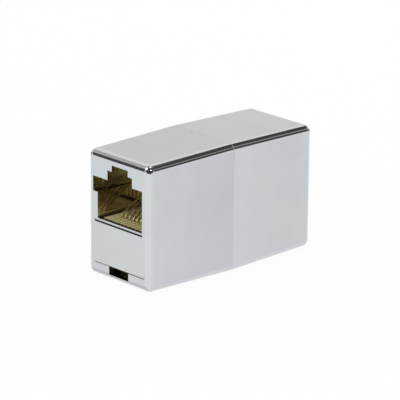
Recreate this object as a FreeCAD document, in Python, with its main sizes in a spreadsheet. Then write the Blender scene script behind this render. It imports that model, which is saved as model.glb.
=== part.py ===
"""Inline coupler for two eight-way modular plugs.

Two plated half shells meet at a seam in the middle of the length. Each is one moulding:
a drafted box with a stepped plug window in its closed end, a tunnel behind the window
and a compartment below and behind it. Between the shells lie a circuit board, two
contact blocks with eight spring contacts each, and two shield springs.

Frame, in millimetres: X across, Y along the length, Z up. The origin is under the
middle of the seam, at the lowest point. Each half is built on the -Y side, and the
rear half is the same half turned by half a turn about Z.
"""

import FreeCAD, Part
import math
import os
import re

import Sketcher

SIZES = (
    ("seam_width", 17.15, "outside width at the seam"),
    ("seam_height", 24.2, "outside height at the seam"),
    ("draft_step", 0.34, "growth of each outside wall from the plug end to the seam"),
    ("half_length", 20.2, "length of one half shell"),
    ("edge_radius", 1.35, "rounding of the outside edges"),
    ("end_wall", 1.3, "thickness of the wall at the plug end"),
    ("side_wall", 1.8, "thickness of a side wall at the seam"),
    ("floor_wall", 1.31, "thickness of the floor at the seam"),
    ("roof_wall", 1.6, "thickness of the roof at the seam"),
    ("tunnel_depth", 12.8, "depth of the plug tunnel from the end face"),
    ("tunnel_width", 11.86, "width of the plug tunnel"),
    ("tunnel_shift", 0.39, "distance of the tunnel's middle from the shell's, to the right"),
    ("tunnel_floor", 11.28, "level of the window sill and of the tunnel floor"),
    ("tunnel_height", 7.72, "height of the plug tunnel"),
    ("key_width", 6.55, "width of the wide latch step"),
    ("key_rise", 1.81, "height of the wide latch step over the tunnel"),
    ("latch_width", 4.26, "width of the narrow latch step"),
    ("latch_rise", 1.17, "height of the narrow latch step over the wide one"),
    ("latch_lip", 1.4, "thickness of the lip that holds the latch"),
    ("latch_room", 7.2, "width of the room behind the lip"),
    ("channel_height", 2.83, "height of the spring channel"),
    ("slit_reach", 6.37, "half the length of the slit under the window"),
    ("sill_wall", 0.4, "thickness of the wall under the window"),
    ("sill_drop", 2.2, "height of the thin wall under the window"),
    ("slit_drop", 0.7, "height from the slit's lower edge up to the window sill"),
    ("slit_height", 0.25, "height of the slit"),
    ("slit_depth", 0.9, "depth of the slit"),
    ("slot_left", 2.47, "reach of the low slot to the left"),
    ("slot_right", 2.7, "reach of the low slot to the right"),
    ("slot_top", 2.92, "level of the low slot's upper edge"),
    ("line_reach", 6.6, "half the length of the witness line"),
    ("line_height", 0.12, "height of the witness line"),
    ("line_depth", 0.15, "depth of the witness line"),
    ("rib_place", 5.2, "distance of the board ribs from the middle"),
    ("rib_width", 0.9, "thickness of a board rib"),
    ("tongue_floor", 12.0, "level of the snap tongue's lower edge"),
    ("tongue_height", 6.0, "height of the snap tongue"),
    ("tongue_wall", 1.0, "thickness of the snap tongue"),
    ("tongue_gap", 1.0, "room between the tongue's tip and the other half's spring"),
    ("tongue_root", 2.5, "length of the tongue's root in its own half"),
    ("nose_length", 1.2, "length of the nose on the snap tongue"),
    ("nose_height", 0.4, "height of the nose on the snap tongue"),
    ("snap_gap", 0.1, "clearance round the tongue and its nose"),
    ("board_floor", 3.1, "level of the board's underside"),
    ("board_wall", 1.0, "thickness of the board"),
    ("board_gap", 0.05, "clearance along the board's long edges"),
    ("end_gap", 0.2, "clearance of the board and block along the length"),
    ("block_gap", 0.1, "clearance round a contact block"),
    ("lip_gap", 0.1, "clearance between the block's lip and the thin wall"),
    ("block_wall", 1.2, "thickness of the contact block's back wall"),
    ("comb_gap", 0.08, "clearance on each side of a contact in the comb"),
    ("comb_depth", 0.85, "depth of a comb groove in the block's top"),
    ("comb_bite", 0.8, "depth of a comb groove in the back wall"),
    ("relief_height", 0.7, "height of the relief along the foot of the back wall"),
    ("contact_count", 8, "contacts in one block"),
    ("contact_pitch", 1.02, "distance between neighbouring contacts"),
    ("strip_width", 0.42, "width of a contact strip"),
    ("strip_wall", 0.3, "thickness of a contact strip"),
    ("strip_bend", 0.6, "bend radius of a contact strip"),
    ("strip_lift", 0.25, "clearance under the strip's run in the comb"),
    ("turn_depth", 1.25, "depth at which the contact's run and arm would cross"),
    ("tip_bite", 0.3, "reach of the contact's tip into the back comb"),
    ("tip_drop", 1.05, "distance of the contact's tip below the tunnel ceiling"),
    ("near_row", 7.6, "depth of the near row of solder tails"),
    ("far_row", 9.2, "depth of the far row of solder tails"),
    ("tail_length", 0.7, "length of a solder tail below the board"),
    ("tail_gap", 0.13, "clearance round a tail in its hole"),
    ("spring_wall", 0.2, "thickness of the shield spring"),
    ("spring_height", 1.9, "height of the shield spring's arm"),
    ("spring_gap", 0.05, "clearance between the spring and the wall"),
    ("spring_front", 2.4, "depth of the spring's front end"),
    ("spring_bow", 0.65, "height of the spring's bow"),
    ("bow_front", 3.2, "depth of the bow's front foot"),
    ("bow_crown", 6.0, "depth of the bow's crown"),
    ("bow_back", 8.8, "depth of the bow's back foot"),
    ("bow_bend", 1.5, "bend radius of the bow"),
    ("leg_setback", 0.4, "distance of the spring's leg behind the tunnel"),
    ("leg_width", 1.6, "width of the spring's leg"),
)

# Sizes that follow from the ones above, each as a formula of names.
DERIVED = {
    "cavity_reach": "(seam_width / 2 - side_wall)",
    "cavity_top": "(seam_height - roof_wall)",
    "tunnel_reach": "(tunnel_width / 2)",
    "tunnel_top": "(tunnel_floor + tunnel_height)",
    "key_top": "(tunnel_top + key_rise)",
    "latch_top": "(key_top + latch_rise)",
    "channel_floor": "(tunnel_top - channel_height)",
    "slit_floor": "(tunnel_floor - slit_drop)",
    "tongue_top": "(tongue_floor + tongue_height)",
    "tongue_reach": "(half_length - leg_back - tongue_gap)",
    "board_top": "(board_floor + board_wall)",
    "block_front": "(end_wall + end_gap)",
    "block_back": "(tunnel_depth - end_gap)",
    "lip_front": "(sill_wall + lip_gap)",
    "block_top": "(tunnel_floor - block_gap)",
    "comb_width": "(strip_width + 2 * comb_gap)",
    "comb_top": "(tunnel_top - block_gap)",
    "strip_level": "(block_top - comb_depth + strip_lift + strip_wall / 2)",
    "tip_depth": "(block_back - block_wall + tip_bite)",
    "tip_level": "(tunnel_top - tip_drop)",
    "tail_hole": "(strip_width + 2 * tail_gap)",
    "leg_back": "(tunnel_depth + leg_setback + leg_width)",
}

NAMES = {name for name, _, _ in SIZES}
ROLES = {"XY": "XY_Plane", "XZ": "XZ_Plane", "YZ": "YZ_Plane"}

doc = FreeCAD.newDocument("InlineCoupler")


def make_sheet():
    """Write every driving size into a sheet, with its name as the alias."""
    sheet = doc.addObject("Spreadsheet::Sheet", "Sizes")
    for row, (name, value, note) in enumerate(SIZES, start=1):
        sheet.set("A%d" % row, name)
        sheet.set("B%d" % row, str(value))
        sheet.set("C%d" % row, note)
        sheet.setAlias("B%d" % row, name)
    doc.recompute()
    return sheet


def spell_out(formula):
    """Write a formula in the sheet's own names, with every derived size opened up."""

    def spell(match):
        word = match[0]
        if word in DERIVED:
            return spell_out(DERIVED[word])
        return "Sizes." + word if word in NAMES else word

    return re.sub(r"[a-z_]+", spell, formula)


def bind(item, path, formula):
    """Tie one property of an object to a formula of size names."""
    item.setExpression(path, spell_out(formula))


def new_body(label, turned=False):
    """Start a sub-part, turned by half a turn about Z if it belongs to the rear half."""
    body = doc.addObject("PartDesign::Body", label)
    body.Label = label
    if turned:
        half_turn = FreeCAD.Rotation(FreeCAD.Vector(0, 0, 1), 180)
        body.Placement = FreeCAD.Placement(FreeCAD.Vector(), half_turn)
    return body


def new_sketch(body, name, plane, offset="0"):
    """Add a sketch on one of the body's own planes, moved along that plane's normal."""
    sketch = body.newObject("Sketcher::SketchObject", name)
    support = [item for item in body.Origin.OriginFeatures if item.Role == ROLES[plane]]
    sketch.AttachmentSupport = [(support[0], "")]
    sketch.MapMode = "FlatFace"
    bind(sketch, "AttachmentOffset.Base.z", offset)
    return sketch


def place(sketch, geometry, point, x, y):
    """Fix one point of a sketch at two formulas."""
    for kind, formula in (("DistanceX", x), ("DistanceY", y)):
        index = sketch.addConstraint(Sketcher.Constraint(kind, -1, 1, geometry, point, 1.0))
        bind(sketch, "Constraints[%d]" % index, formula)


def outline(sketch, corners):
    """Draw a closed outline through corners that are pairs of formulas."""
    count = len(corners)
    angles = [2 * math.pi * index / count for index in range(count)]
    start = [FreeCAD.Vector(math.cos(angle), math.sin(angle), 0) for angle in angles]
    sides = [Part.LineSegment(start[index], start[(index + 1) % count]) for index in range(count)]
    first = sketch.GeometryCount
    sketch.addGeometry(sides, False)
    for index, (x, y) in enumerate(corners):
        following = first + (index + 1) % count
        sketch.addConstraint(Sketcher.Constraint("Coincident", first + index, 2, following, 1))
        place(sketch, first + index, 1, x, y)


def rectangle(sketch, left, right, low, high):
    """Draw a rectangle between four formulas."""
    outline(sketch, [(left, low), (right, low), (right, high), (left, high)])


def circle(sketch, x, y, diameter):
    """Draw a circle of a stated diameter about two formulas."""
    index = sketch.addGeometry(Part.Circle(FreeCAD.Vector(), FreeCAD.Vector(0, 0, 1), 1.0), False)
    place(sketch, index, 3, x, y)
    size = sketch.addConstraint(Sketcher.Constraint("Diameter", index, 2.0))
    bind(sketch, "Constraints[%d]" % size, diameter)


def bent_path(sketch, corners, bend):
    """Draw straight runs through corners, joined by tangent arcs of one radius."""
    radius = sheet.get(bend)
    marks = []
    for x, y in corners:
        mark = sketch.addGeometry(Part.Point(FreeCAD.Vector()), True)
        place(sketch, mark, 1, x, y)
        marks.append(mark)
    doc.recompute()
    points = [FreeCAD.Vector(sketch.Geometry[mark].X, sketch.Geometry[mark].Y, 0) for mark in marks]
    starts, ends = list(points), list(points)
    arcs = {}
    for index in range(1, len(points) - 1):
        back = (points[index - 1] - points[index]).normalize()
        ahead = (points[index + 1] - points[index]).normalize()
        half = back.getAngle(ahead) / 2
        ends[index] = points[index] + back * (radius / math.tan(half))
        starts[index] = points[index] + ahead * (radius / math.tan(half))
        middle = points[index] + (back + ahead).normalize() * (radius / math.sin(half))
        to_left = ahead.cross(back).z > 0
        first, last = (ends[index], starts[index]) if to_left else (starts[index], ends[index])
        angles = [math.atan2(spot.y - middle.y, spot.x - middle.x) for spot in (first, last)]
        round_about = Part.Circle(middle, FreeCAD.Vector(0, 0, 1), radius)
        arcs[index] = (Part.ArcOfCircle(round_about, *angles), to_left)
    lines = []
    for index in range(len(points) - 1):
        lines.append(sketch.addGeometry(Part.LineSegment(starts[index], ends[index + 1]), False))
    for index, (arc, to_left) in arcs.items():
        number = sketch.addGeometry(arc, False)
        joints = ((lines[index - 1], 2, 1 if to_left else 2), (lines[index], 1, 2 if to_left else 1))
        for line, line_end, arc_end in joints:
            sketch.addConstraint(Sketcher.Constraint("Tangent", line, line_end, number, arc_end))
            sketch.addConstraint(Sketcher.Constraint("PointOnObject", marks[index], 1, line))
        size = sketch.addConstraint(Sketcher.Constraint("Radius", number, radius))
        bind(sketch, "Constraints[%d]" % size, bend)
    sketch.addConstraint(Sketcher.Constraint("Coincident", lines[0], 1, marks[0], 1))
    sketch.addConstraint(Sketcher.Constraint("Coincident", lines[-1], 2, marks[-1], 1))


def extrude(body, kind, name, sketch, length, backwards=False):
    """Add a Pad or cut a Pocket from a sketch; backwards swaps its direction."""
    feature = body.newObject("PartDesign::" + kind, name)
    feature.Profile = sketch
    feature.Reversed = backwards
    bind(feature, "Length", length)
    return feature


def pipe(body, name, profile, path):
    """Carry a profile along a path."""
    feature = body.newObject("PartDesign::AdditivePipe", name)
    feature.Profile = profile
    feature.Spine = (path, [])
    return feature


def repeat_contacts(body, name, feature):
    """Repeat a cut once for each contact, across the width."""
    pattern = body.newObject("PartDesign::LinearPattern", name)
    pattern.Originals = [feature]
    pattern.Direction = (feature.Profile[0], ["H_Axis"])
    bind(pattern, "Length", "(contact_count - 1) * contact_pitch")
    bind(pattern, "Occurrences", "contact_count")
    body.Tip = pattern
    return pattern


def chosen_edges(shape, chosen):
    """Names of the edges whose bounding box passes a test."""
    edges = enumerate(shape.Edges, start=1)
    return ["Edge%d" % number for number, edge in edges if chosen(edge.BoundBox)]


def round_edges(body, name, feature, radius, chosen):
    """Round the edges of a feature that a test picks."""
    doc.recompute()
    fillet = body.newObject("PartDesign::Fillet", name)
    fillet.Base = (feature, chosen_edges(feature.Shape, chosen))
    bind(fillet, "Radius", radius)
    return fillet


def contact_place(number):
    """Formula for the place of a contact across the width."""
    return "(tunnel_shift + (%d - contact_count / 2 - 0.5) * contact_pitch)" % number


def stepped(steps):
    """Outline that is alike on both sides of the tunnel's middle, from its right-hand corners."""
    right = [("tunnel_shift + " + x, z) for x, z in steps]
    left = [("tunnel_shift - " + x, z) for x, z in reversed(steps)]
    return right + left


def tail_row(number):
    """Name of the row of tails that a contact belongs to: the rows take turns."""
    return "far_row" if number % 2 else "near_row"


def shell_box(body):
    """Outside of a half shell: a wedge that grows on all four sides from the plug end to the seam."""
    box = body.newObject("PartDesign::AdditiveWedge", "DraftedBox")
    limits = {
        "Ymin": "-half_length",
        "Ymax": "0",
        "Xmin": "-seam_width / 2 + draft_step",
        "Xmax": "seam_width / 2 - draft_step",
        "Zmin": "draft_step",
        "Zmax": "seam_height - draft_step",
        "X2min": "-seam_width / 2",
        "X2max": "seam_width / 2",
        "Z2min": "0",
        "Z2max": "seam_height",
    }
    for limit, formula in limits.items():
        bind(box, limit, formula)
    round_edges(body, "OutsideEdges", box, "edge_radius", lambda reach: reach.YMin < -1)


def shell_cavity(body):
    """Compartment behind the tunnel, lower down as far as the end wall, and the thin sill."""
    behind = new_sketch(body, "CavityOutline", "XZ")
    rectangle(behind, "-cavity_reach", "cavity_reach", "floor_wall", "cavity_top")
    extrude(body, "Pocket", "Cavity", behind, "half_length - tunnel_depth", backwards=True)
    below = new_sketch(body, "TrayOutline", "XZ")
    rectangle(below, "-cavity_reach", "cavity_reach", "floor_wall", "tunnel_floor")
    extrude(body, "Pocket", "Tray", below, "half_length - end_wall", backwards=True)
    thinned = new_sketch(body, "SillOutline", "XZ")
    sides = [("tunnel_reach", "tunnel_floor - sill_drop"), ("tunnel_reach", "tunnel_floor")]
    outline(thinned, stepped(sides))
    extrude(body, "Pocket", "ThinSill", thinned, "half_length - sill_wall", backwards=True)


def shell_tunnel(body):
    """Plug tunnel with its two latch steps, and the latch room behind the lip."""
    steps = new_sketch(body, "TunnelOutline", "XZ", "half_length")
    corners = [
        ("tunnel_reach", "tunnel_floor"),
        ("tunnel_reach", "tunnel_top"),
        ("key_width / 2", "tunnel_top"),
        ("key_width / 2", "key_top"),
        ("latch_width / 2", "key_top"),
        ("latch_width / 2", "latch_top"),
    ]
    outline(steps, stepped(corners))
    extrude(body, "Pocket", "Tunnel", steps, "tunnel_depth")
    room = new_sketch(body, "LatchRoomOutline", "XZ", "half_length - latch_lip")
    outline(room, stepped([("latch_room / 2", "tunnel_top"), ("latch_room / 2", "latch_top")]))
    extrude(body, "Pocket", "LatchRoom", room, "tunnel_depth - latch_lip")


def shell_channel(body):
    """Spring channel along the tunnel's left side."""
    channel = new_sketch(body, "ChannelOutline", "XZ", "half_length")
    rectangle(channel, "-cavity_reach", "tunnel_shift - tunnel_reach", "channel_floor", "tunnel_top")
    extrude(body, "Pocket", "SpringChannel", channel, "tunnel_depth")


def shell_end_marks(body):
    """Slit under the window, low slot in the end wall, and the witness line along its top."""
    slit = new_sketch(body, "SlitOutline", "XZ", "half_length")
    rectangle(slit, "-slit_reach", "slit_reach", "slit_floor", "slit_floor + slit_height")
    extrude(body, "Pocket", "Slit", slit, "slit_depth")
    slot = new_sketch(body, "SlotOutline", "XZ", "half_length")
    rectangle(slot, "-slot_left", "slot_right", "floor_wall", "slot_top")
    extrude(body, "Pocket", "LowSlot", slot, "end_wall")
    line = new_sketch(body, "LineOutline", "XZ", "half_length")
    ends = ("tunnel_shift - line_reach", "tunnel_shift + line_reach")
    rectangle(line, *ends, "slot_top - line_height", "slot_top")
    extrude(body, "Pocket", "WitnessLine", line, "line_depth")


def shell_ribs(body):
    """Two ribs on the compartment floor that carry the circuit board."""
    ribs = new_sketch(body, "RibOutline", "XZ")
    for side in ("-", ""):
        left = side + "rib_place - rib_width / 2"
        right = side + "rib_place + rib_width / 2"
        rectangle(ribs, left, right, "floor_wall", "board_floor")
    extrude(body, "Pad", "BoardRibs", ribs, "half_length - end_wall")


def shell_snap(body):
    """Snap tongue on the right wall and the recess for the other half's nose on the left."""
    outer = "cavity_reach - snap_gap"
    inner = outer + " - tongue_wall"
    root = new_sketch(body, "TongueRootOutline", "XZ")
    rectangle(root, inner, "cavity_reach", "tongue_floor", "tongue_top")
    extrude(body, "Pad", "TongueRoot", root, "tongue_root")
    tongue = new_sketch(body, "TongueOutline", "XZ")
    rectangle(tongue, inner, outer, "tongue_floor", "tongue_top")
    extrude(body, "Pad", "Tongue", tongue, "tongue_reach", backwards=True)
    nose = new_sketch(body, "NoseOutline", "XY", "tongue_floor")
    foot = "tongue_reach - nose_length"
    outline(nose, [(outer, foot), (outer + " + snap_gap + nose_height", foot), (outer, "tongue_reach")])
    extrude(body, "Pad", "Nose", nose, "tongue_height")
    recess = new_sketch(body, "RecessOutline", "YZ", "-cavity_reach")
    back = "-tongue_reach - snap_gap"
    front = "-tongue_reach + nose_length + snap_gap"
    rectangle(recess, back, front, "tongue_floor - snap_gap", "tongue_top + snap_gap")
    extrude(body, "Pocket", "NoseRecess", recess, "nose_height + snap_gap")


def make_shell(label, turned):
    """One plated half shell."""
    body = new_body(label, turned)
    shell_box(body)
    shell_cavity(body)
    shell_tunnel(body)
    shell_channel(body)
    shell_end_marks(body)
    shell_ribs(body)
    shell_snap(body)


def make_board(label):
    """Circuit board with a hole for every solder tail of both blocks."""
    body = new_body(label)
    plate = new_sketch(body, "PlateOutline", "XY", "board_floor")
    reach = "(cavity_reach - board_gap)"
    run = "(half_length - block_front)"
    rectangle(plate, "-" + reach, reach, "-" + run, run)
    extrude(body, "Pad", "Plate", plate, "board_wall")
    holes = new_sketch(body, "HoleOutlines", "XY", "board_top")
    for number in range(1, contact_count + 1):
        across = contact_place(number)
        along = "(half_length - %s)" % tail_row(number)
        circle(holes, across, "-" + along, "tail_hole")
        circle(holes, "-" + across, along, "tail_hole")
    extrude(body, "Pocket", "TailHoles", holes, "board_wall")


def block_base(body):
    """Base of the contact block, from the board up, with a lip that reaches under the window."""
    base = new_sketch(body, "BaseOutline", "XY", "board_top")
    reach = "(cavity_reach - 2 * block_gap)"
    rectangle(base, "-" + reach, reach, "-half_length + block_front", "-half_length + block_back")
    extrude(body, "Pad", "Base", base, "block_top - board_top")
    lip = new_sketch(body, "LipOutline", "XZ", "half_length - block_front")
    sides = [
        ("(tunnel_reach - block_gap)", "tunnel_floor - sill_drop + block_gap"),
        ("(tunnel_reach - block_gap)", "block_top"),
    ]
    outline(lip, stepped(sides))
    extrude(body, "Pad", "Lip", lip, "block_front - lip_front")


def block_wall(body):
    """Back wall of the plug tunnel, with the tunnel's own stepped outline."""
    wall = new_sketch(body, "WallOutline", "XZ", "half_length - block_back")
    wide = "(tunnel_reach - block_gap)"
    narrow = "(latch_room / 2 - block_gap)"
    crown = "latch_top - block_gap"
    corners = [(wide, "block_top"), (wide, "comb_top"), (narrow, "comb_top"), (narrow, crown)]
    outline(wall, stepped(corners))
    extrude(body, "Pad", "BackWall", wall, "block_wall")


def block_combs(body):
    """Grooves for the contacts, along the top and up the back wall, and the wall's relief."""
    first = contact_place(1)
    sides = (first + " - comb_width / 2", first + " + comb_width / 2")
    top = new_sketch(body, "TopGroove", "XZ", "half_length - lip_front")
    rectangle(top, *sides, "block_top - comb_depth", "block_top")
    grooves = extrude(body, "Pocket", "TopGrooveCut", top, "far_row + tail_hole / 2 - lip_front")
    repeat_contacts(body, "TopComb", grooves)
    back = new_sketch(body, "BackGroove", "XZ", "half_length - block_back + block_wall")
    rectangle(back, *sides, "block_top", "comb_top")
    rises = extrude(body, "Pocket", "BackGrooveCut", back, "comb_bite")
    repeat_contacts(body, "BackComb", rises)
    relief = new_sketch(body, "ReliefOutline", "XZ", "half_length - block_back + block_wall")
    wide = "(tunnel_reach - block_gap)"
    outline(relief, stepped([(wide, "block_top"), (wide, "block_top + relief_height")]))
    extrude(body, "Pocket", "Relief", relief, "comb_bite")


def block_bores(body):
    """Bores that take the solder tails down through the block."""
    tails = new_sketch(body, "TailOutlines", "XY", "block_top")
    for number in range(1, contact_count + 1):
        circle(tails, contact_place(number), "-half_length + " + tail_row(number), "tail_hole")
    extrude(body, "Pocket", "TailBores", tails, "block_top - board_top")


def make_contact_block(label, turned):
    """Insulating block: base on the board, combed top, and back wall of the tunnel."""
    body = new_body(label, turned)
    block_base(body)
    block_wall(body)
    block_combs(body)
    block_bores(body)


def make_contact(label, number, turned):
    """Spring contact: tail through the board, run under the comb, arm rising to the back."""
    body = new_body(label, turned)
    bind(body, "Placement.Base.x", ("-" if turned else "") + contact_place(number))
    row = "-half_length + " + tail_row(number)
    foot = "board_floor - tail_length"
    section = new_sketch(body, "Section", "XY", foot)
    thick = row + " - strip_wall / 2"
    rectangle(section, "-strip_width / 2", "strip_width / 2", thick, thick + " + strip_wall")
    path = new_sketch(body, "Path", "YZ")
    corners = [
        (row, foot),
        (row, "strip_level"),
        ("-half_length + turn_depth", "strip_level"),
        ("-half_length + tip_depth", "tip_level"),
    ]
    bent_path(path, corners, "strip_bend")
    pipe(body, "Strip", section, path)


def make_shield_spring(label, turned):
    """Bowed strip in the side channel, with a leg down to the board."""
    body = new_body(label, turned)
    outer = "-cavity_reach + spring_gap"
    centre = outer + " + spring_wall / 2"
    level = "(channel_floor + channel_height / 2)"
    section = new_sketch(body, "Section", "XZ", "half_length - spring_front")
    low = level + " - spring_height / 2"
    rectangle(section, outer, outer + " + spring_wall", low, low + " + spring_height")
    path = new_sketch(body, "Path", "XY", level)
    corners = [
        (centre, "-half_length + spring_front"),
        (centre, "-half_length + bow_front"),
        (centre + " + spring_bow", "-half_length + bow_crown"),
        (centre, "-half_length + bow_back"),
        (centre, "-half_length + leg_back"),
    ]
    bent_path(path, corners, "bow_bend")
    pipe(body, "Arm", section, path)
    leg = new_sketch(body, "LegOutline", "YZ", outer)
    back = "-half_length + leg_back"
    rectangle(leg, back + " - leg_width", back, "board_top", level)
    extrude(body, "Pad", "Leg", leg, "spring_wall")


def write_parts():
    """Check every object, then write each sub-part to its own file."""
    doc.recompute()
    for item in doc.Objects:
        if "Invalid" in item.State or "Error" in item.State:
            raise RuntimeError("%s is %s" % (item.Name, item.State))
    bodies = [item for item in doc.Objects if item.TypeId == "PartDesign::Body"]
    for body in bodies:
        if body.Shape.isNull() or not body.Shape.isValid() or len(body.Shape.Solids) != 1:
            raise RuntimeError("%s is not one valid solid" % body.Label)
    os.makedirs("parts", exist_ok=True)
    for body in bodies:
        body.Shape.exportStep("parts/%s.step" % body.Label)
        print("%-22s %9.3f mm3" % (body.Label, body.Shape.Volume))


sheet = make_sheet()
contact_count = int(sheet.get("contact_count"))
for end, turned in (("front", False), ("rear", True)):
    make_shell(end + "_shell", turned)
    make_contact_block(end + "_contact_block", turned)
    make_shield_spring(end + "_shield_spring", turned)
    for number in range(1, contact_count + 1):
        make_contact("%s_contact_%d" % (end, number), number, turned)
make_board("circuit_board")
write_parts()
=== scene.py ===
# %% [markdown]
# # An inline coupler for two eight-way modular plugs
#
# Two plated half shells meet at a seam, and each has a stepped plug window in its end. The
# solid model comes in first, as a fixed frame. Every piece that is made later takes its place
# from it, so nothing has to be fitted by eye.

# %% Load the frame
import math

import bmesh
import bpy
import numpy as np
from mathutils import Matrix, Vector


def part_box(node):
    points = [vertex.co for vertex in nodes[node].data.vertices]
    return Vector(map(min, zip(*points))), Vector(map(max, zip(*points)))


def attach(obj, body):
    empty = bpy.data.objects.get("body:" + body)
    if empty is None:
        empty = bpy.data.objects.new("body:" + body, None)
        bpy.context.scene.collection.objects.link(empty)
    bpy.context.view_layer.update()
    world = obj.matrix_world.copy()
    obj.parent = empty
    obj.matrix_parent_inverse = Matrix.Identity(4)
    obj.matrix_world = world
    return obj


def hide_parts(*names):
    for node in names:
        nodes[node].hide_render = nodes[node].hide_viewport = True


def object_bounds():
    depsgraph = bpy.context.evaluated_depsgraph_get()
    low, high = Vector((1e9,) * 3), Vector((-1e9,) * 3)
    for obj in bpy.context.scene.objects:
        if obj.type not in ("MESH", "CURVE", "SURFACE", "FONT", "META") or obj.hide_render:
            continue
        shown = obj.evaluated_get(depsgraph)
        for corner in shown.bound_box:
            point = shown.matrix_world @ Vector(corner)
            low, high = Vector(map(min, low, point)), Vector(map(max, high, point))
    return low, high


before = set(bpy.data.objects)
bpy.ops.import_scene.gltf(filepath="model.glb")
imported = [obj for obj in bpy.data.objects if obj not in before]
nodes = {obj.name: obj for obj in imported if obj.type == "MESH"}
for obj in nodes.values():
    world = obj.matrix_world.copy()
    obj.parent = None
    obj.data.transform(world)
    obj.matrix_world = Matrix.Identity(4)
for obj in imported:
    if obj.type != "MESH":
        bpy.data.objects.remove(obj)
cad_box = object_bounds()
MM = 0.001
# The rear half is the front half turned by half a turn about Z, so its X and Y change sign.
ENDS = {"front": 1, "rear": -1}
size_mm = [round((high - low) / MM, 2) for low, high in zip(*cad_box)]
print("nodes:", len(nodes), " size in mm:", size_mm)

# %% [markdown]
# ## The camera
#
# A small shiny box is best shown from far off with a long lens, as for a catalogue, because
# its edges then stay nearly parallel. A tracked empty or typed angles could turn the camera.
# Here its three axes are worked out and written straight into its matrix, which leaves nothing
# to be solved later. It looks down a little on one end and one long side.

# %% Camera
# The aim is close to the middle of the box, and the roll as small as a tripod head leaves it.
AIM = Vector((-0.087, -0.238, 11.694)) * MM
AZIMUTH, ELEVATION, ROLL = math.radians(46.913), math.radians(17.937), math.radians(0.507)
DISTANCE = 528.5 * MM
LENS = 260.9
CLIP_START, CLIP_END = 0.01, 20


def place_camera():
    """Stand off from the aim by the distance, along an azimuth (from -Y to +X) and elevation."""
    level = math.cos(ELEVATION)
    back = Vector((math.sin(AZIMUTH) * level, -math.cos(AZIMUTH) * level, math.sin(ELEVATION)))
    flat = Vector((math.cos(AZIMUTH), math.sin(AZIMUTH), 0))
    right = flat * math.cos(ROLL) + back.cross(flat) * math.sin(ROLL)
    camera = bpy.data.objects.new("camera", bpy.data.cameras.new("camera"))
    camera.data.lens = LENS
    camera.data.clip_start, camera.data.clip_end = CLIP_START, CLIP_END
    turned = Matrix((right, back.cross(right), back)).transposed().to_4x4()
    turned.translation = AIM + back * DISTANCE
    camera.matrix_world = turned
    bpy.context.scene.collection.objects.link(camera)
    return camera


bpy.context.scene.camera = place_camera()
bpy.context.scene.view_settings.view_transform = "Standard"
print("camera at", [round(v, 4) for v in bpy.context.scene.camera.location])

# %% [markdown]
# ## A short way to write nodes
#
# Shaders are graphs, and a graph is long to write one link at a time. The first helper adds a
# node and fills or links its inputs in one line, so that each material below reads like a
# formula. The others name the few formulas that come back all the time: smooth steps, which
# say where something is, and layers of colour.

# %% Helper: one node in one line


def add(tree, kind, inputs=None, **settings):
    """Add one shader node; inputs maps a socket's name or number to a value or to an output."""
    made = tree.nodes.new("ShaderNode" + kind)
    for name, value in settings.items():
        setattr(made, name, value)
    for name, value in (inputs or {}).items():
        if isinstance(value, bpy.types.NodeSocket):
            tree.links.new(value, made.inputs[name])
        else:
            made.inputs[name].default_value = value
    return made


print("node helper ready")

# %% Helpers: smooth steps and layers


def maths(tree, operation, *values):
    """Output of one Math node."""
    return add(tree, "Math", dict(enumerate(values)), operation=operation).outputs[0]


def product(tree, first, *others):
    """Product of several outputs, which is where all their masks hold at once."""
    for other in others:
        first = maths(tree, "MULTIPLY", first, other)
    return first


def rise(tree, value, low, high, start=0.0, end=1.0):
    """Smooth step of a value from start to end, as it goes from low to high."""
    inputs = {"Value": value, "From Min": low, "From Max": high, "To Min": start, "To Max": end}
    return add(tree, "MapRange", inputs, interpolation_type="SMOOTHSTEP").outputs["Result"]


def window(tree, value, low, high, soft):
    """One between low and high, falling smoothly to nothing within soft outside them."""
    up = rise(tree, value, low - soft, low)
    down = rise(tree, value, high, high + soft, 1.0, 0.0)
    return product(tree, up, down)


def lay(tree, factor, under, colour):
    """Lay a plain colour over another one, as far as the factor says."""
    inputs = {0: factor, 6: under, 7: (*colour, 1.0)}
    return add(tree, "Mix", inputs, data_type="RGBA").outputs[2]


def tint(tree, factor, first, second):
    """Colour that goes from the first tint to the second as a factor goes from 0 to 1."""
    return lay(tree, factor, (*first, 1.0), second)


print("formula helpers ready")

# %% [markdown]
# ## The studio
#
# Bright plating shows its surroundings and hardly any colour of its own, so the surroundings are
# part of the finish. A studio lights such a box with a white tent and puts a few dark cards
# round it, which draw the edges, and small bright windows, which put a glint on each corner.
# Lamps and card meshes could do that. A world made of a few smooth windows in azimuth and
# elevation does the same with no extra objects, and only reflections see it: the diffuse light
# stays plain and even, so colours render as written. Below the horizon it stands for the white
# sweep, which lies in soft folds further off. The cards are laid one over the other, the last
# one on top.

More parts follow.
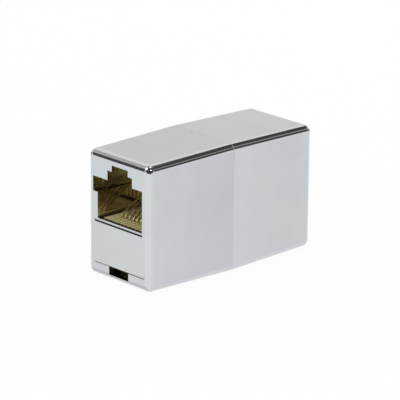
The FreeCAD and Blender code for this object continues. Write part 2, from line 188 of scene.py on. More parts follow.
# %% Cards
TENT_TURN, TENT_LOW, TENT_HIGH = (10.0, 26.0), (0.86, 0.85, 0.835), (0.79, 0.78, 0.765)
HORIZON, SWEEP = (-3.0, 1.0), (0.985, 1.0, 0.985)
EVEN_LIGHT = 0.95
CARDS = (
    # name, azimuth from and to, elevation from and to, softness (all in degrees), colour
    ("sweep on the right", 0, 110, -60, -4, 12, (0.974, 0.990, 0.997)),
    ("first fold of the sweep", 42.0, 43.0, -60, -6, 2.3, (0.868, 0.879, 0.899)),
    ("second fold of the sweep", 45.2, 45.9, -60, -6, 0.7, (0.985, 0.992, 0.998)),
    ("third fold of the sweep", 46.7, 46.95, -60, -6, 0.65, (0.905, 0.915, 0.918)),
    ("pale edge of the sweep", 200, 240, -17.2, -8, 1.5, (1.005, 1.035, 1.045)),
    ("bright sweep in front", 242, 336, -60, -4, 12, (1.08, 1.09, 1.09)),
    ("shaded sheet under the end", 185, 252, -91, -28, 7, (0.76, 0.78, 0.80)),
    ("tent top", -1, 361, 70, 91, 8, (1.15, 1.15, 1.15)),
    ("rising tent", 108, 180, 24, 52, 6, (1.03, 1.02, 1.0)),
    ("dark card behind, low", 34, 62, 8, 51, 5, (0.07, 0.068, 0.066)),
    ("dark card behind, high", 60, 106, 36, 51, 5, (0.07, 0.068, 0.066)),
    ("streak on the card", 44, 60, 28, 34, 3, (0.38, 0.38, 0.38)),
    ("grey card left", 180, 220, 26, 46, 3, (0.60, 0.59, 0.58)),
    ("narrow dark card, high", 216.6, 222.3, 14, 28.5, 1.5, (0.06, 0.06, 0.06)),
    ("narrow dark card, low", 222.3, 226, 0, 14, 1.5, (0.07, 0.07, 0.07)),
    ("dark room in front", 224, 361, 38, 76, 4, (0.08, 0.078, 0.075)),
    ("dark room to the right", -1, 34, 38, 76, 4, (0.08, 0.078, 0.075)),
    ("dark ceiling", -1, 361, 58, 74, 4, (0.10, 0.10, 0.10)),
    ("window lamp left", 215, 250, 35, 60, 3, (3.0, 3.0, 3.0)),
    ("window lamp right", 328, 348, 33, 47, 3, (3.0, 3.0, 3.0)),
    ("lamp overhead", 80, 140, 70, 81, 3, (3.0, 3.0, 3.0)),
)
print("cards:", [card[0] for card in CARDS])

# %% World


def build_world():
    """White for the camera, even light for diffuse rays, tent and cards for reflections."""
    world = bpy.data.worlds.new("studio")
    world.use_nodes = True
    bpy.context.scene.world = world
    tree = world.node_tree
    tree.nodes.clear()
    way = add(tree, "TexCoord").outputs["Generated"]
    x, y, z = add(tree, "SeparateXYZ", {0: way}).outputs
    elevation = maths(tree, "DEGREES", maths(tree, "ARCSINE", z))
    turn = maths(tree, "DEGREES", maths(tree, "ARCTAN2", y, x))
    azimuth = maths(tree, "FLOORED_MODULO", turn, 360.0)
    colour = tint(tree, rise(tree, elevation, *TENT_TURN), TENT_LOW, TENT_HIGH)
    ground = rise(tree, elevation, *HORIZON, 1.0, 0.0)
    colour = lay(tree, ground, colour, SWEEP)
    for _, az_from, az_to, el_from, el_to, soft, own in CARDS:
        across = window(tree, azimuth, az_from, az_to, soft)
        up = window(tree, elevation, el_from, el_to, soft)
        colour = lay(tree, product(tree, across, up), colour, own)
    seen = add(tree, "Background", {"Color": colour}).outputs[0]
    plain = {"Color": (1.0, 1.0, 1.0, 1.0)}
    even = add(tree, "Background", {**plain, "Strength": EVEN_LIGHT}).outputs[0]
    white = add(tree, "Background", plain).outputs[0]
    path = add(tree, "LightPath").outputs
    shiny = add(tree, "MixShader", {0: path["Is Glossy Ray"], 1: even, 2: seen}).outputs[0]
    clear = maths(tree, "MAXIMUM", path["Is Camera Ray"], path["Is Transmission Ray"])
    final = add(tree, "MixShader", {0: clear, 1: shiny, 2: white}).outputs[0]
    add(tree, "OutputWorld", {0: final})


build_world()
print("world of", len(bpy.context.scene.world.node_tree.nodes), "nodes")

# %% [markdown]
# ## The floor
#
# The box stands on a plain white sweep. The camera sees it as white with only a faint shadow.
# Reflections pass through it to the world below, so the plating mirrors a clean white sheet
# that doesn't darken near the box. From below the sheet is clear, so the box's underside can be
# looked at too.

# %% Floor
FLOOR_REACH = 4.0  # metres
FLOOR_GREY = 0.9
FLOOR_GLOW = 0.93  # share of its own light in what the camera sees


def build_floor():
    """Square plane at level zero: white to the camera, matt to other rays, clear from below."""
    mesh = bpy.data.meshes.new("floor")
    square = ((-1, -1), (1, -1), (1, 1), (-1, 1))
    corners = [(x * FLOOR_REACH, y * FLOOR_REACH, 0) for x, y in square]
    mesh.from_pydata(corners, [], [(0, 1, 2, 3)])
    floor = bpy.data.objects.new("floor", mesh)
    bpy.context.scene.collection.objects.link(floor)
    material = bpy.data.materials.new("white sweep")
    material.use_nodes = True
    tree = material.node_tree
    tree.nodes.clear()
    grey = (FLOOR_GREY, FLOOR_GREY, FLOOR_GREY, 1)
    matt = add(tree, "BsdfDiffuse", {"Color": grey}).outputs[0]
    white = add(tree, "Emission", {"Color": (1, 1, 1, 1), "Strength": 1.0}).outputs[0]
    look = add(tree, "MixShader", {0: FLOOR_GLOW, 1: matt, 2: white}).outputs[0]
    seen = add(tree, "LightPath").outputs["Is Camera Ray"]
    upper = add(tree, "MixShader", {0: seen, 1: matt, 2: look}).outputs[0]
    under = add(tree, "NewGeometry").outputs["Backfacing"]
    clear = add(tree, "BsdfTransparent").outputs[0]
    final = add(tree, "MixShader", {0: under, 1: upper, 2: clear}).outputs[0]
    add(tree, "OutputMaterial", {0: final})
    mesh.materials.append(material)
    floor.visible_glossy = False


build_floor()
print("floor laid")

# %% [markdown]
# ## Two soft lamps
#
# The sockets are deep, and the even light of the tent reaches only their first millimetres. Each
# end gets one broad lamp, low in power, that looks in at an angle. Reflections leave it out,
# because its square would show in the plating.

# %% Lamps
LAMPS = (("lamp front", -70), ("lamp rear", 110))
LAMP_ELEVATION, LAMP_DISTANCE = 32, 0.55  # degrees, metres
LAMP_POWER, LAMP_SIZE = 0.35, 0.35  # watts, metres


def place_lamp(name, azimuth):
    """Square lamp at an azimuth in degrees from +X, turned to face the middle of the coupler."""
    lamp = bpy.data.lights.new(name, "AREA")
    lamp.energy, lamp.size = LAMP_POWER, LAMP_SIZE
    turn, lift = math.radians(azimuth), math.radians(LAMP_ELEVATION)
    level = math.cos(lift)
    way = Vector((math.cos(turn) * level, math.sin(turn) * level, math.sin(lift)))
    holder = bpy.data.objects.new(name, lamp)
    holder.rotation_euler = way.to_track_quat("Z", "Y").to_euler()
    holder.location = AIM + way * LAMP_DISTANCE
    holder.visible_glossy = False
    bpy.context.scene.collection.objects.link(holder)


for name, azimuth in LAMPS:
    place_lamp(name, azimuth)
print("lamps:", [name for name, _ in LAMPS])

# %% [markdown]
# ## A start for every material
#
# Every material begins in the same way: one shader, and the place on the object, in metres.
# Noise and bump come back in each of them, so they are written once too. A noise is given by
# how many features it has in a metre, and a bump by its real depth.

# %% Helpers: material, noise, bump
MIDDLE = (0.35, 0.65)  # where most values of a noise lie
BROAD_MIDDLE = (0.3, 0.7)
SMOOTH, PLAIN, FINE = 1.0, 2.0, 3.0  # detail of a noise, in octaves


def start_material(name):
    """Empty material and its tree, a shader linked to the output, and the Object coordinates."""
    material = bpy.data.materials.new(name)
    material.use_nodes = True
    tree = material.node_tree
    tree.nodes.clear()
    shader = add(tree, "BsdfPrincipled")
    add(tree, "OutputMaterial", {"Surface": shader.outputs[0]})
    return material, tree, shader, add(tree, "TexCoord").outputs["Object"]


def noise(tree, where, scale, detail=PLAIN):
    """Noise between 0 and 1; scale is in features for each metre."""
    inputs = {"Vector": where, "Scale": scale, "Detail": detail}
    return add(tree, "TexNoise", inputs).outputs["Fac"]


def stretch(tree, where, scale):
    """Coordinates scaled along X, Y and Z; a scale under one draws a noise out that way."""
    return add(tree, "Mapping", {"Vector": where, "Scale": scale}).outputs[0]


def dent(tree, height, depth, under=None):
    """Bump of a stated depth in metres, laid over another one."""
    inputs = {"Height": height, "Distance": depth, "Strength": 1.0}
    if under:
        inputs["Normal"] = under
    return add(tree, "Bump", inputs).outputs["Normal"]


def wire(tree, shader, colour, roughness, normal, metallic=0.0):
    """Link a colour, a roughness and a normal to a shader, and say whether it is bare metal."""
    tree.links.new(colour, shader.inputs["Base Color"])
    tree.links.new(roughness, shader.inputs["Roughness"])
    tree.links.new(normal, shader.inputs["Normal"])
    shader.inputs["Metallic"].default_value = metallic


print("material helpers ready")

# %% [markdown]
# ## Marks by place
#
# Plating differs from place to place: it is thin in a deep recess. Shade is painted in by place
# as well: a crescent under each upper corner, a band along the foot of the tunnel's walls, the
# ledge beside them, the lips of the slits and the line low on each end. Painted textures could
# say so, but they need a layout of the surface. Each mark here is a smooth step along X, Y or Z,
# or a product of a few, with its limits in millimetres, so it lies on the object as exactly as a
# cut does.

# %% Helpers: steps in millimetres


def above(tree, value, low, high):
    """Nothing below low and one above high, both in mm."""
    return rise(tree, value, low * MM, high * MM)


def below(tree, value, low, high):
    """One below low and nothing above high, both in mm."""
    return rise(tree, value, low * MM, high * MM, 1.0, 0.0)


def between(tree, value, low, high, soft):
    """One between low and high, soft outside them, all in mm."""
    return window(tree, value, low * MM, high * MM, soft * MM)


def wide_and_deep(tree, place):
    """Distances from the coupler's middle: across it, and along it towards either end."""
    return [maths(tree, "ABSOLUTE", place[axis]) for axis in (0, 1)]


print("step helpers ready")

# %% Where the marks are
# The tunnel's middle lies this far to +X in the front half, and to -X in the turned rear half.
WINDOW_SHIFT = 0.39
# Each pair gives the two ends of a smooth step, or the limits of a band.
RECESS_SIDE, RECESS_DEPTH = (7.3, 7.9), (19.6, 20.1)
RECESS_LEVEL, RECESS_SOFT = (1.2, 22.8), 0.5
# The lips of the slits and the line low on each end are painted dark, as shade in the gap and in
# the groove.
SLIT_LEVEL, SLIT_SIDE = (10.6, 10.96), (6.34, 6.38)
LINE_LEVEL, LINE_SIDE = (2.90, 3.0), (6.55, 6.6)
END_DEPTH, LINE_SOFT = (19.1, 19.2), 0.04
# A crescent of painted shade under each upper corner.
CORNER_SPOT, CORNER_REACH, CORNER_LEVEL = (7.84, 19.8, 23.4), (0.78, 0.92), (23.12, 23.18)
SEAM_DEPTH, SEAM_LEVEL = (0.07, 0.11), (17.0, 22.5)


def recess(tree, place):
    """One inside a box a little smaller than the coupler, nothing outside it, soft between."""
    wide, deep = wide_and_deep(tree, place)
    across = below(tree, wide, *RECESS_SIDE)
    along = below(tree, deep, *RECESS_DEPTH)
    return product(tree, across, along, between(tree, place[2], *RECESS_LEVEL, RECESS_SOFT))


def off_axis(tree, place):
    """Distance across from the middle of the tunnel of the half that the place is in."""
    turned = product(tree, place[0], maths(tree, "SIGN", place[1]))
    return maths(tree, "ABSOLUTE", maths(tree, "ADD", turned, WINDOW_SHIFT * MM))


def painted_slit_and_line_shade(tree, place):
    """One where shade is painted: on the upper lip in each slit and in the line low on each end,
    nothing elsewhere.
    """
    wide, deep = wide_and_deep(tree, place)
    lip = between(tree, place[2], *SLIT_LEVEL, LINE_SOFT)
    lip = product(tree, lip, below(tree, wide, *SLIT_SIDE))
    line = between(tree, place[2], *LINE_LEVEL, LINE_SOFT)
    line = product(tree, line, below(tree, off_axis(tree, place), *LINE_SIDE))
    return product(tree, maths(tree, "MAXIMUM", lip, line), above(tree, deep, *END_DEPTH))


def painted_corner_shade(tree, place):
    """One on a crescent under each upper corner, where shade is painted.

    It is the lower part of a ball round a spot on the corner, below a level.
    """
    wide, deep = wide_and_deep(tree, place)
    here = add(tree, "CombineXYZ", {0: wide, 1: deep, 2: place[2]}).outputs[0]
    spot = tuple(value * MM for value in CORNER_SPOT)
    gap = add(tree, "VectorMath", {0: here, 1: spot}, operation="DISTANCE").outputs["Value"]
    return product(tree, below(tree, gap, *CORNER_REACH), below(tree, place[2], *CORNER_LEVEL))


def seam_line(tree, place):
    """One on the seam between the halves at the roof, fading down the sides."""
    _, deep = wide_and_deep(tree, place)
    return product(tree, below(tree, deep, *SEAM_DEPTH), above(tree, place[2], *SEAM_LEVEL))


print("marks: recess, painted_slit_and_line_shade, painted_corner_shade, seam_line")

# %% [markdown]
# ## The bright plating
#
# The shells are moulded in plastic and plated with a thin layer of copper, nickel and chrome.
# The metal follows the moulding: it keeps the slow waves of the plastic, a fine skin that is
# not quite a mirror, and a cold tint. So the colour drifts slightly, the roughness varies with
# a fine noise and with faint wiping marks, and the bump is a slow wave plus a fine skin.
# Chrome hardly reaches into deep recesses, so the tunnel and the compartment keep the warm,
# duller nickel under it, with painted shade along the foot of the walls and on the ledge beside
# them. A second material could do that, but the solid has one slot, and the change is gradual at
# the window's rim, so the marks do both.

# %% Plating
CHROME = (0.593, 0.606, 0.630), (0.606, 0.622, 0.638)
NICKEL = (0.53, 0.47, 0.32), (0.62, 0.55, 0.39)
FADED_LEVEL, FADED = (18.6, 20.2), (0.68, 0.66, 0.60)
# Painted shade: a dark band along the foot of the tunnel's walls, and a darker ledge beside them.
FOOT_LEVEL, FOOT_SOFT, FOOT_SHADE = (11.2, 11.75), 0.12, (0.14, 0.10, 0.055)
LEDGE_LEVEL, LEDGE_SOFT, LEDGE_SHADE = (16.0, 16.4), 0.1, (0.30, 0.24, 0.16)
LEDGE_SIDE, LEDGE_DEPTH = (5.9, 6.0), (13.4, 15.4)
DULL_LEVEL, DULL_LOW, DULL_HIGH = (16.1, 16.6), 0.04, 0.16
# Painted shade colours: grey for the slits' lips and the end line, near black under the upper
# corners.
SLIT_AND_LINE_SHADE, CORNER_SHADE, SEAM_ROUGHNESS = (0.15, 0.15, 0.16), (0.04, 0.04, 0.042), 0.5
# Noises in features for each metre, bumps in metres.
DRIFT, CLOUDS, HAZE, WIPING, WIPED = 110.0, 300.0, 900.0, 2600.0, (1.0, 0.08, 0.7)
HAZE_RANGE, CHROME_GLOSS = (0.12, 0.42), (0.045, 0.085)
WAVES, WAVE_DEPTH, FINE_SKIN, SKIN_DEPTH = 240.0, 7e-6, 3800.0, 2e-7


def nickel_colour(tree, where, place):
    """Warm cloudy nickel that fades into dull chrome above the tunnel, with painted shade at the
    foot of the walls and on the ledge.
    """
    nickel = tint(tree, noise(tree, where, CLOUDS), *NICKEL)
    nickel = lay(tree, above(tree, place[2], *FADED_LEVEL), nickel, FADED)
    # Painted shade along the foot of the walls, then on the ledge beside them.
    foot = between(tree, place[2], *FOOT_LEVEL, FOOT_SOFT)
    nickel = lay(tree, foot, nickel, FOOT_SHADE)
    _, deep = wide_and_deep(tree, place)
    beside = above(tree, off_axis(tree, place), *LEDGE_SIDE)
    level = between(tree, place[2], *LEDGE_LEVEL, LEDGE_SOFT)
    ledge = product(tree, level, beside, above(tree, deep, *LEDGE_DEPTH))
    return lay(tree, ledge, nickel, LEDGE_SHADE)


def plating():
    """Cold bright chrome outside, warm nickel in the recesses, slow waves and a fine skin.

    The line low on each end, the lips of the slits and a crescent under each upper corner get
    painted shade; the seam is rougher.
    """
    material, tree, shader, where = start_material("bright plating")
    place = add(tree, "SeparateXYZ", {0: where}).outputs
    inside = recess(tree, place)
    chrome = tint(tree, rise(tree, noise(tree, where, DRIFT, SMOOTH), *MIDDLE), *CHROME)
    layers = {0: inside, 6: chrome, 7: nickel_colour(tree, where, place)}
    colour = add(tree, "Mix", layers, data_type="RGBA").outputs[2]
    # Painted shade on the slits' lips and in the line low on each end.
    colour = lay(tree, painted_slit_and_line_shade(tree, place), colour, SLIT_AND_LINE_SHADE)
    # Painted shade under each upper corner.
    colour = lay(tree, painted_corner_shade(tree, place), colour, CORNER_SHADE)
    wiped = stretch(tree, where, WIPED)
    haze = product(tree, noise(tree, where, HAZE), noise(tree, wiped, WIPING))
    gloss = rise(tree, haze, *HAZE_RANGE, *CHROME_GLOSS)
    low, high = (level * MM for level in DULL_LEVEL)
    upper = rise(tree, place[2], low, high, DULL_LOW, DULL_HIGH)
    dull = maths(tree, "MULTIPLY_ADD", inside, upper, gloss)
    dull = maths(tree, "MULTIPLY_ADD", seam_line(tree, place), SEAM_ROUGHNESS, dull)
    waves = dent(tree, noise(tree, where, WAVES, SMOOTH), WAVE_DEPTH)
    bump = dent(tree, noise(tree, where, FINE_SKIN), SKIN_DEPTH, waves)
    wire(tree, shader, colour, dull, bump, metallic=1.0)
    return material


bright_plating = plating()
print("made", bright_plating.name)

# %% [markdown]
# ## Soft edges on the solids
#
# No moulding or stamping has a knife edge, and plating rounds every edge a little more: the
# small round is what catches the light along a seam or round a window. The solids come with
# sharp edges, as loose triangles. Modelling the rounds by hand is slow, and rounding them in
# the solid model makes it heavy. A stack of modifiers does it here: weld the loose triangles,
# dissolve the flat ones into whole faces, bevel what is still an edge, then let the large
# faces decide the shading so that they stay flat.

# %% Soften the edges of a solid
# The weld's reach and the rounds are in mm.
WELD_REACH = 0.001
FLAT_ANGLE, EDGE_ANGLE = math.radians(0.4), math.radians(28)
EDGE_STEPS, FACE_WEIGHT = 2, 80
SHELL_ROUND, BLOCK_ROUND, SPRING_ROUND, BOARD_ROUND = 0.05, 0.04, 0.03, 0.06


def soften(node, width):
    """Round every sharp edge of a solid by a width in mm, and keep the flat faces flat."""
    weld = node.modifiers.new("weld", "WELD")
    weld.merge_threshold = WELD_REACH * MM
    flat = node.modifiers.new("whole faces", "DECIMATE")
    flat.decimate_type = "DISSOLVE"
    flat.angle_limit = FLAT_ANGLE
    round_edge = node.modifiers.new("edge round", "BEVEL")
    round_edge.width = width * MM
    round_edge.segments = EDGE_STEPS
    round_edge.limit_method = "ANGLE"
    round_edge.angle_limit = EDGE_ANGLE
    shading = node.modifiers.new("shading", "WEIGHTED_NORMAL")
    shading.weight = FACE_WEIGHT


def finish_node(name, material, width):
    """Give a solid its material and its soft edges."""
    node = nodes[name]
    node.data.materials.clear()
    node.data.materials.append(material)
    soften(node, width)


for end in ENDS:
    finish_node(end + "_shell", bright_plating, SHELL_ROUND)
print("softened", len(nodes["front_shell"].data.polygons), "triangles a shell")

# %% [markdown]
# ## The moulded block
#
# Behind each window sits a block of natural filled plastic, the colour of cream, which holds the
# contacts in its comb. It is matt, slightly uneven in tint, and has the fine grain that a
# glass-filled plastic gets from its mould. Two noises do both: a slow one for the tint and a fine
# one for grain and gloss. The foot of its back wall and the comb's sides are painted dark as
# shade, which is two more marks by place.

# %% Natural plastic
# The second colour is painted shade, for the foot of the back wall and the comb's sides.
CREAM, ROOT_AND_SIDE_SHADE = ((0.68, 0.61, 0.30), (0.89, 0.83, 0.48)), (0.05, 0.035, 0.02)
ROOT_LEVEL, ROOT_SOFT = (11.15, 11.8), 0.1
BACK_DEPTH, COMB_SIDE = (8.8, 9.0), (5.45, 5.75)
CREAM_CLOUDS, CREAM_GRAIN, GRAIN_DEPTH = 1300.0, 1100.0, 4e-6
FIBRES, FIBRE_DRAWN, FIBRE_DEPTH, CREAM_GLOSS = 5200.0, (1.0, 0.2, 1.0), 3e-6, (0.38, 0.56)


def natural_plastic():
    """Cream moulded plastic: cloudy tint, short fibres in the gloss, fine grain in the bump."""
    material, tree, shader, where = start_material("natural plastic")
    cloud = tint(tree, noise(tree, where, CREAM_CLOUDS), *CREAM)
    place = add(tree, "SeparateXYZ", {0: where}).outputs
    _, deep = wide_and_deep(tree, place)
    # Painted shade at the foot of the back wall and along the comb's sides.
    root = between(tree, place[2], *ROOT_LEVEL, ROOT_SOFT)
    root = product(tree, root, below(tree, deep, *BACK_DEPTH))
    side = above(tree, off_axis(tree, place), *COMB_SIDE)
    with_shade = lay(tree, maths(tree, "MAXIMUM", root, side), cloud, ROOT_AND_SIDE_SHADE)
    fibres = noise(tree, stretch(tree, where, FIBRE_DRAWN), FIBRES, FINE)
    gloss = rise(tree, fibres, *MIDDLE, *CREAM_GLOSS)
    ridges = dent(tree, fibres, FIBRE_DEPTH)
    bump = dent(tree, noise(tree, where, CREAM_GRAIN), GRAIN_DEPTH, ridges)
    wire(tree, shader, with_shade, gloss, bump)
    return material


block_plastic = natural_plastic()
for end in ENDS:
    finish_node(end + "_contact_block", block_plastic, BLOCK_ROUND)
print("made", block_plastic.name)

# %% [markdown]
# ## A skin over rings
#
# Contacts and solder joints are both rows of rings: a section carried along a path, or a circle
# that changes its radius. One helper turns such a grid of points into a closed mesh. Primitives
# joined by hand would leave seams at every bend.

# %% Helper: rings to a closed mesh


def skin(name, rings, material, marks=None):
    """Closed mesh over grids of rings, shaped (pieces, rings, points, 3), with capped ends.

    Faces join ring i to ring i + 1 and point j to point j + 1, and the last point to the
    first. marks gives one number for each ring, kept as the point attribute "run".
    """
    pieces, rows, count, _ = rings.shape
    first = np.arange(pieces)[:, None, None] * rows * count
    row = np.arange(rows - 1)[None, :, None] * count
    here = np.arange(count)[None, None, :]
    after = (here + 1) % count
    corners = (row + here, row + after, row + count + after, row + count + here)
    quads = np.stack([first + corner for corner in corners], axis=-1).reshape(-1, 4)
    start = (first[:, 0] + np.arange(count)[None, ::-1]).tolist()
    end = (first[:, 0] + (rows - 1) * count + np.arange(count)[None, :]).tolist()
    mesh = bpy.data.meshes.new(name)
    mesh.from_pydata(rings.reshape(-1, 3).tolist(), [], quads.tolist() + start + end)
    shaped = bmesh.new()
    shaped.from_mesh(mesh)
    bmesh.ops.recalc_face_normals(shaped, faces=shaped.faces)
    shaped.to_mesh(mesh)
    shaped.free()
    mesh.shade_smooth()
    if marks is not None:
        run = mesh.attributes.new("run", "FLOAT", "POINT")
        run.data.foreach_set("value", np.tile(np.repeat(marks, count), pieces).astype(np.float32))
    mesh.materials.append(material)
    piece = bpy.data.objects.new(name, mesh)
    bpy.context.scene.collection.objects.link(piece)
    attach(piece, "root")
    return piece


print("skin helper ready")

# %% [markdown]
# ## The spring contacts
#
# Each contact is a strip of gold-plated bronze. Its tail stands in the circuit board, its run
# lies in the comb, and its arm slopes up to the back wall and gives way when a plug comes in.
# It is stamped and bent, so its corners are slightly round and its bends keep one radius. It
# could be a curve with a bevel object, but a profile carried along a worked-out path keeps the
# number of points at each bend in hand.

# %% Path and section of a contact
# All in mm. Depths are measured from the end face of the half, and levels from the foot.
END = cad_box[0][1] / MM
ROWS = {0: 7.6, 1: 9.2}  # depth of the tail, by the contact's number being even or odd
STRIP_WALL, STRIP_CORNER, STRIP_BEND, STRIP_CROWN = 0.30, 0.07, 0.6, 0.12
STRIP_LEVEL, TURN_DEPTH, TIP_DEPTH, TIP_LEVEL = 10.73, 2.0, 11.7, 16.2


def bent_path(corners, bend, steps=7):
    """Points of straight runs through corners, joined by arcs of one radius.

    Each arc touches both runs at bend / tan(half the angle between them) from the corner, and
    its points turn evenly from one touching point to the other.
    """
    corners = np.asarray(corners, dtype=float)
    spots = [corners[:1]]
    for before, corner, after in zip(corners, corners[1:], corners[2:]):
        back = (before - corner) / np.linalg.norm(before - corner)
        ahead = (after - corner) / np.linalg.norm(after - corner)
        half = math.acos(back @ ahead) / 2
        inward = (back + ahead) / np.linalg.norm(back + ahead)
        centre = corner + inward * bend / math.sin(half)
        turn = np.linspace(-1, 1, steps)[:, None] * (math.pi / 2 - half)
        side = (ahead - back) / np.linalg.norm(ahead - back)
        spots.append(centre + bend * (np.sin(turn) * side - np.cos(turn) * inward))
    spots.append(corners[-1:])
    return np.concatenate(spots)


def soft_rectangle(width, height, corner, steps=3):
    """Rectangle with quarter-circle corners: each corner's centre plus its own quarter turn."""
    quarter = np.arange(4)[:, None]
    angle = (quarter + np.linspace(0, 1, steps)[None, :]) * math.pi / 2
    side = np.array([1, -1, -1, 1])[:, None] * (width / 2 - corner)
    rise_up = np.array([1, 1, -1, -1])[:, None] * (height / 2 - corner)
    across = side + corner * np.cos(angle)
    up = rise_up + corner * np.sin(angle)
    return np.stack([across.ravel(), up.ravel()], axis=1)


print("section of", len(soft_rectangle(1, 1, 0.1)), "points")

# %% Carry a section along a path
CROWN_STEPS = 4


def carry(path, section, crown):
    """Rings of a section carried along a flat path in the plane of Y and Z, and their runs.

    At each point the section's first axis lies along X and its second along the path's own
    normal. Over the crown at each end the section shrinks as a quarter circle does.
    """
    step = np.linalg.norm(np.diff(path, axis=0), axis=1)
    lengths = np.concatenate([[0.0], np.cumsum(step)])
    turn = np.linspace(1 / CROWN_STEPS, 1, CROWN_STEPS) * math.pi / 2
    reach = crown * (1 - np.cos(math.pi / 2 - turn[::-1]))[::-1]
    along = np.concatenate([reach, lengths[1:-1], lengths[-1] - reach[::-1]])
    scale = np.concatenate([np.sin(turn), np.ones(len(lengths) - 2), np.sin(turn)[::-1]])
    spots = np.stack([np.interp(along, lengths, path[:, axis]) for axis in (0, 1)], axis=1)
    tangent = np.gradient(spots, along, axis=0)
    tangent /= np.linalg.norm(tangent, axis=1, keepdims=True)
    normal = np.stack([-tangent[:, 1], tangent[:, 0]], axis=1)
    across = section[None, :, 0] * scale[:, None]
    out = section[None, :, 1] * scale[:, None]
    y = spots[:, :1] + normal[:, :1] * out
    z = spots[:, 1:] + normal[:, 1:] * out
    return np.stack([across, y, z], axis=-1), along


print("path helpers ready")

# %% Gold plated strip
GOLD, GOLD_GLOSS, GOLD_CLOUDS = ((0.56, 0.45, 0.23), (0.68, 0.56, 0.32)), (0.40, 0.55), 420.0
DRAWN_LINES, DRAWN_OUT, DRAWN_DEPTH = 9000.0, 0.03, 1.5e-6


def gold_strip():
    """Gold over bronze: warm, drawn lines along the strip, a soft uneven gloss."""
    material, tree, shader, where = start_material("gold plated strip")
    run = add(tree, "Attribute", attribute_name="run").outputs["Fac"]
    x, _, _ = add(tree, "SeparateXYZ", {0: where}).outputs
    drawn = add(tree, "CombineXYZ", {"X": x, "Y": product(tree, run, DRAWN_OUT)}).outputs[0]
    lines = noise(tree, drawn, DRAWN_LINES, FINE)
    warm = tint(tree, noise(tree, where, GOLD_CLOUDS), *GOLD)
    gloss = rise(tree, lines, *BROAD_MIDDLE, *GOLD_GLOSS)
    wire(tree, shader, warm, gloss, dent(tree, lines, DRAWN_DEPTH), metallic=1.0)
    return material


contact_gold = gold_strip()
print("made", contact_gold.name)

# %% Contacts


def make_contact(end, number):
    """One contact in place of its solid, with the solid's own width, place across and foot."""
    name = "%s_contact_%d" % (end, number)
    low, high = (np.array(corner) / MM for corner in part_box(name))
    row = END + ROWS[number % 2]
    corners = [
        (row, low[2]),
        (row, STRIP_LEVEL),
        (END + TURN_DEPTH, STRIP_LEVEL),
        (END + TIP_DEPTH, TIP_LEVEL),
    ]
    section = soft_rectangle(high[0] - low[0], STRIP_WALL, STRIP_CORNER)
    rings, along = carry(bent_path(corners, STRIP_BEND), section, STRIP_CROWN)
    rings[..., 1] *= ENDS[end]
    rings[..., 0] = rings[..., 0] * ENDS[end] + (low[0] + high[0]) / 2
    piece = skin(name + "_strip", rings[None] * MM, contact_gold, along * MM)
    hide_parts(name)
    return piece


contacts = [make_contact(end, number) for end in ENDS for number in range(1, 9)]
print("contacts:", len(contacts), " faces in one:", len(contacts[0].data.polygons))

# %% [markdown]
# ## Black pieces for painted shade
#
# Under the window the block reaches almost to the outside, as a lip behind the thin sill. A black
# strip as thin as paper is folded over the lip's edge: it is painted shade, a dark piece that
# makes the gap behind the sill and the slit in front of it look dark. A solid of its own would
# say little. The contact's own method makes it: a flat section, carried up the lip's face and
# over its edge. A second strip lies on the shell's floor and stands up behind the low slot, as
# painted shade that makes the slot look dark.

# %% Black for the pieces of painted shade
# Near black, for pieces that stand in for shade.
SHADE_FILM, FILM_GLOSS = ((0.012, 0.010, 0.008), (0.03, 0.026, 0.02)), (0.38, 0.55)
FILM_CLOUDS, FILM_GRAIN, FILM_DEPTH = 500.0, 4200.0, 2e-6


def black_for_shade():
    """Warm black for pieces of painted shade: a slight sheen, fine grain."""
    material, tree, shader, where = start_material("black shade piece")
    grain = noise(tree, where, FILM_GRAIN, FINE)
    black = tint(tree, noise(tree, where, FILM_CLOUDS), *SHADE_FILM)
    gloss = rise(tree, grain, *BROAD_MIDDLE, *FILM_GLOSS)
    wire(tree, shader, black, gloss, dent(tree, grain, FILM_DEPTH))
    return material


shade_black = black_for_shade()
print("made", shade_black.name)

# %% Pieces of painted shade
# All in mm.
SHADE_PIECE_WALL, SHADE_PIECE_CORNER, SHADE_PIECE_BEND, SHADE_PIECE_CROWN = 0.05, 0.02, 0.06, 0.01
FACE_DEPTH, LIP_TOP = 0.45, 11.22
SLOT_SHADE_DEPTH, SLOT_SHADE_FOOT = 2.3, 1.345
# The lip piece darkens the slit and the second piece darkens the low slot, both as painted shade.
SHADE_PIECES = (
    # name, corners as depth from the end face and level, width, shift across
    ("lip", [(FACE_DEPTH, 9.6), (FACE_DEPTH, LIP_TOP), (0.86, LIP_TOP)], 11.6, WINDOW_SHIFT),
    ("slot_shade", [(4.8, SLOT_SHADE_FOOT), (SLOT_SHADE_DEPTH, SLOT_SHADE_FOOT), (SLOT_SHADE_DEPTH, 2.98)], 6.6, 0.1),
)


def make_shade_piece(end, name, corners, width, shift):
    """Band of a stated width carried through its corners, in the half at an end."""
    path = bent_path([(END + depth, level) for depth, level in corners], SHADE_PIECE_BEND)
    rings, _ = carry(path, soft_rectangle(width, SHADE_PIECE_WALL, SHADE_PIECE_CORNER), SHADE_PIECE_CROWN)
    rings[..., 0] = (rings[..., 0] + shift) * ENDS[end]
    rings[..., 1] *= ENDS[end]
    return skin("%s_%s_tape" % (end, name), rings[None] * MM, shade_black)


shade_pieces = [make_shade_piece(end, *shade_piece) for shade_piece in SHADE_PIECES for end in ENDS]
print("tapes:", [shade_piece.name for shade_piece in shade_pieces])

# %% [markdown]
# ## The shield springs
#
# In the side channel of each socket a bowed strip of bare bronze touches the plug's shield. The
# solid already has its shape, so it only gets rounded edges and its metal, duller and browner
# than the gold, with rolling lines along its length.

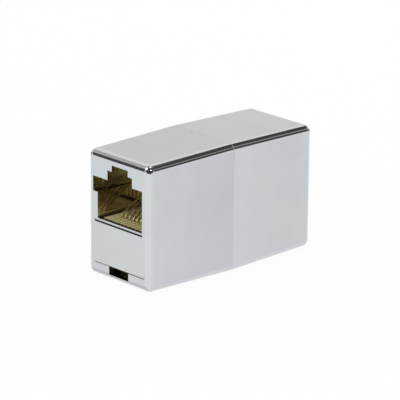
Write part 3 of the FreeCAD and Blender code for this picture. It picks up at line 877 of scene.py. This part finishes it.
# %% Rolled bronze
BRONZE, BRONZE_GLOSS = ((0.27, 0.23, 0.12), (0.36, 0.30, 0.17)), (0.36, 0.5)
BRONZE_CLOUDS, ROLLED_LINES, ROLLED_OUT, ROLLED_DEPTH = 380.0, 7000.0, (1.0, 0.04, 1.0), 1.2e-6


def rolled_bronze():
    """Bare rolled bronze: brown tint, rolling lines along Y, satin gloss."""
    material, tree, shader, where = start_material("rolled bronze")
    lines = noise(tree, stretch(tree, where, ROLLED_OUT), ROLLED_LINES, FINE)
    brown = tint(tree, noise(tree, where, BRONZE_CLOUDS), *BRONZE)
    gloss = rise(tree, lines, *BROAD_MIDDLE, *BRONZE_GLOSS)
    wire(tree, shader, brown, gloss, dent(tree, lines, ROLLED_DEPTH), metallic=1.0)
    return material


spring_bronze = rolled_bronze()
for end in ENDS:
    finish_node(end + "_shield_spring", spring_bronze, SPRING_ROUND)
print("made", spring_bronze.name)

# %% [markdown]
# ## The circuit board
#
# The board is a glass-fibre laminate under a green lacquer. The weave of the glass shows
# through as a faint square grid in the lacquer's gloss, so two crossed waves make the bump.

# %% Laminate
LACQUER, LACQUER_GLOSS = ((0.012, 0.075, 0.028), (0.02, 0.11, 0.045)), (0.30, 0.42)
LACQUER_CLOUDS, WEAVE, WEAVE_DEPTH = 300.0, 600.0, 3e-6
COAT_WEIGHT, COAT_ROUGHNESS = 0.4, 0.12


def laminate():
    """Green lacquer over woven glass: crossed waves for the weave, a thin clear coat."""
    material, tree, shader, where = start_material("lacquered laminate")
    inputs = {"Vector": where, "Scale": WEAVE}
    waves = [add(tree, "TexWave", inputs, bands_direction=way).outputs["Fac"] for way in "XY"]
    weave = product(tree, *waves)
    green = tint(tree, noise(tree, where, LACQUER_CLOUDS), *LACQUER)
    gloss = rise(tree, weave, 0.0, 1.0, *LACQUER_GLOSS)
    wire(tree, shader, green, gloss, dent(tree, weave, WEAVE_DEPTH))
    shader.inputs["Coat Weight"].default_value = COAT_WEIGHT
    shader.inputs["Coat Roughness"].default_value = COAT_ROUGHNESS
    return material


board_laminate = laminate()
finish_node("circuit_board", board_laminate, BOARD_ROUND)
print("made", board_laminate.name)

# %% [markdown]
# ## The solder joints
#
# Under the board every tail stands in a ring of copper with a hollow cone of solder round it.
# The cone is a surface turned about the tail, with the hollow curve that wet solder takes, so
# one profile and one turn make all eight joints of a block at once.

# %% Solder
SOLDER, SOLDER_GLOSS = ((0.50, 0.50, 0.49), (0.66, 0.66, 0.64)), (0.16, 0.34)
FROST, FROST_DEPTH = 3000.0, 3e-6


def bright_solder():
    """Reflowed solder: silver grey, a little frosted where it froze."""
    material, tree, shader, where = start_material("bright solder")
    frost = noise(tree, where, FROST, FINE)
    grey = tint(tree, frost, *SOLDER)
    gloss = rise(tree, frost, *BROAD_MIDDLE, *SOLDER_GLOSS)
    wire(tree, shader, grey, gloss, dent(tree, frost, FROST_DEPTH), metallic=1.0)
    return material


solder = bright_solder()
print("made", solder.name)

# %% Solder joints
# All in mm, with the underside of the board as a level and the rest as radii and depths below.
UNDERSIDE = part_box("circuit_board")[0][2] / MM
PAD_RADIUS, PAD_WALL, PAD_RIM = 0.56, 0.035, 0.05
PAD_ROUND, PAD_DROP = 0.02, 0.005
CONE_RADIUS, CONE_DEPTH, TIP_RADIUS, TIP_ROUND = 0.27, 0.5, 0.23, 0.03
CONE_STEPS, TURN_STEPS = 9, 24


def make_joints(end):
    """Eight joints under the board, each a profile of radius and depth turned about its tail.

    The profile is the copper ring's edge, then the hollow cone: its radius falls from inside
    the ring's rim to the tail's as the square of what is left of the depth.
    """
    numbers = range(1, 9)
    boxes = [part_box("%s_contact_%d" % (end, number)) for number in numbers]
    x = np.array([(low[0] + high[0]) / 2 / MM for low, high in boxes])
    y = ENDS[end] * np.array([END + ROWS[number % 2] for number in numbers])
    fall = np.linspace(0, 1, CONE_STEPS)
    cone = CONE_RADIUS + (PAD_RADIUS - PAD_RIM - CONE_RADIUS) * (1 - fall) ** 2
    ring = [PAD_RADIUS - PAD_ROUND, PAD_RADIUS, PAD_RADIUS]
    radius = np.concatenate([ring, cone, [TIP_RADIUS]])
    below_ring = np.append(CONE_DEPTH * fall, CONE_DEPTH + TIP_ROUND)
    depth = np.concatenate([[0, PAD_DROP, PAD_WALL], PAD_WALL + below_ring])
    angle = np.linspace(0, 2 * math.pi, TURN_STEPS, endpoint=False)
    rings = np.empty((len(boxes), len(radius), len(angle), 3))
    rings[..., 0] = x[:, None, None] + radius[None, :, None] * np.cos(angle)
    rings[..., 1] = y[:, None, None] + radius[None, :, None] * np.sin(angle)
    rings[..., 2] = UNDERSIDE - depth[None, :, None]
    return skin(end + "_solder_joints", rings * MM, solder)


joints = [make_joints(end) for end in ENDS]
print("joints:", [joint.name for joint in joints])
